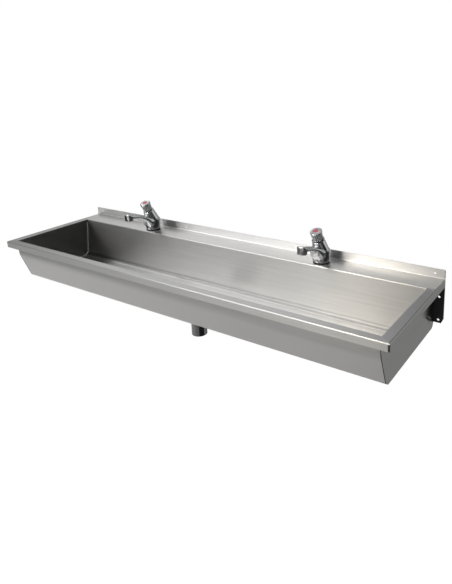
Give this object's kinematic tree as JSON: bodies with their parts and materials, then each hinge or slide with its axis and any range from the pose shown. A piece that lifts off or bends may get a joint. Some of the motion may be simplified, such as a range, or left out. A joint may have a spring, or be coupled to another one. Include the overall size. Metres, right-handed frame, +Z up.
{
  "type": "trough sink",
  "caption": "Wall-hung wash trough in folded stainless sheet with a tap ledge, upstand, wall brackets, bottom waste and self-closing push taps.",
  "frame": {"origin": "middle of the length, on the wall plane, at the height of the upstand's fixing holes, 12 mm above the deck", "axes": "+X along the trough to the right as seen from the front, +Y into the wall, +Z up"},
  "size_m": [1.2, 0.34, 0.3066],
  "materials": {
    "trough_steel": "brushed along the length",
    "panel_steel": "fine satin, glossy",
    "plain_steel": "plain satin",
    "bracket_black": "black powder coat",
    "tap_chrome": "polished",
    "waste_chrome": "polished",
    "index_red": "gloss",
    "seal_rubber": "matt",
    "white_plastic": "matt",
    "grey_plastic": "matt",
    "brass": "turned",
    "spring_steel": "drawn wire",
    "stem_steel": "ground"
  },
  "bodies": {
    "trough": {"trough_sheet": "trough_steel", "left_end_panel": "panel_steel", "right_end_panel": "panel_steel", "left_tap_stiffener": "plain_steel", "right_tap_stiffener": "plain_steel", "left_wall_bracket": "bracket_black", "right_wall_bracket": "bracket_black", "left_bracket_studs": "plain_steel", "right_bracket_studs": "plain_steel", "left_bracket_nuts": "plain_steel", "right_bracket_nuts": "plain_steel", "waste_body": "waste_chrome", "waste_grid": "waste_chrome", "waste_grid_screw": "waste_chrome", "waste_seal": "seal_rubber", "waste_washer": "white_plastic", "waste_backnut": "brass", "waste_tail_seal": "seal_rubber", "waste_tail_pipe": "waste_chrome", "waste_coupling_nut": "waste_chrome", "left_tap_body": "tap_chrome", "right_tap_body": "tap_chrome", "left_tap_gasket": "seal_rubber", "right_tap_gasket": "seal_rubber", "left_inlet_shank": "brass", "right_inlet_shank": "brass", "left_tap_washer": "white_plastic", "right_tap_washer": "white_plastic", "left_tap_backnut": "brass", "right_tap_backnut": "brass", "left_outlet_insert": "grey_plastic", "right_outlet_insert": "grey_plastic", "left_barrel_ring": "tap_chrome", "right_barrel_ring": "tap_chrome", "left_cartridge": "brass", "right_cartridge": "brass", "left_stem_seal": "seal_rubber", "right_stem_seal": "seal_rubber", "left_return_spring": "spring_steel", "right_return_spring": "spring_steel"},
    "left_button": {"left_push_cap": "tap_chrome", "left_index_disc": "index_red", "left_push_stem": "stem_steel", "left_valve_washer": "seal_rubber"},
    "right_button": {"right_push_cap": "tap_chrome", "right_index_disc": "index_red", "right_push_stem": "stem_steel", "right_valve_washer": "seal_rubber"}
  },
  "joints": [
    {"name": "left_button_press", "type": "slide", "parent": "trough", "child": "left_button", "axis": [0, 0.4067, -0.9135], "range_m": [0, 0.007], "stiffness_N_per_m": 1500, "springref_m": -0.006, "deforming": ["left_return_spring"]},
    {"name": "right_button_press", "type": "slide", "parent": "trough", "child": "right_button", "axis": [0, 0.4067, -0.9135], "range_m": [0, 0.007], "stiffness_N_per_m": 1500, "springref_m": -0.006, "deforming": ["right_return_spring"]}
  ]
}
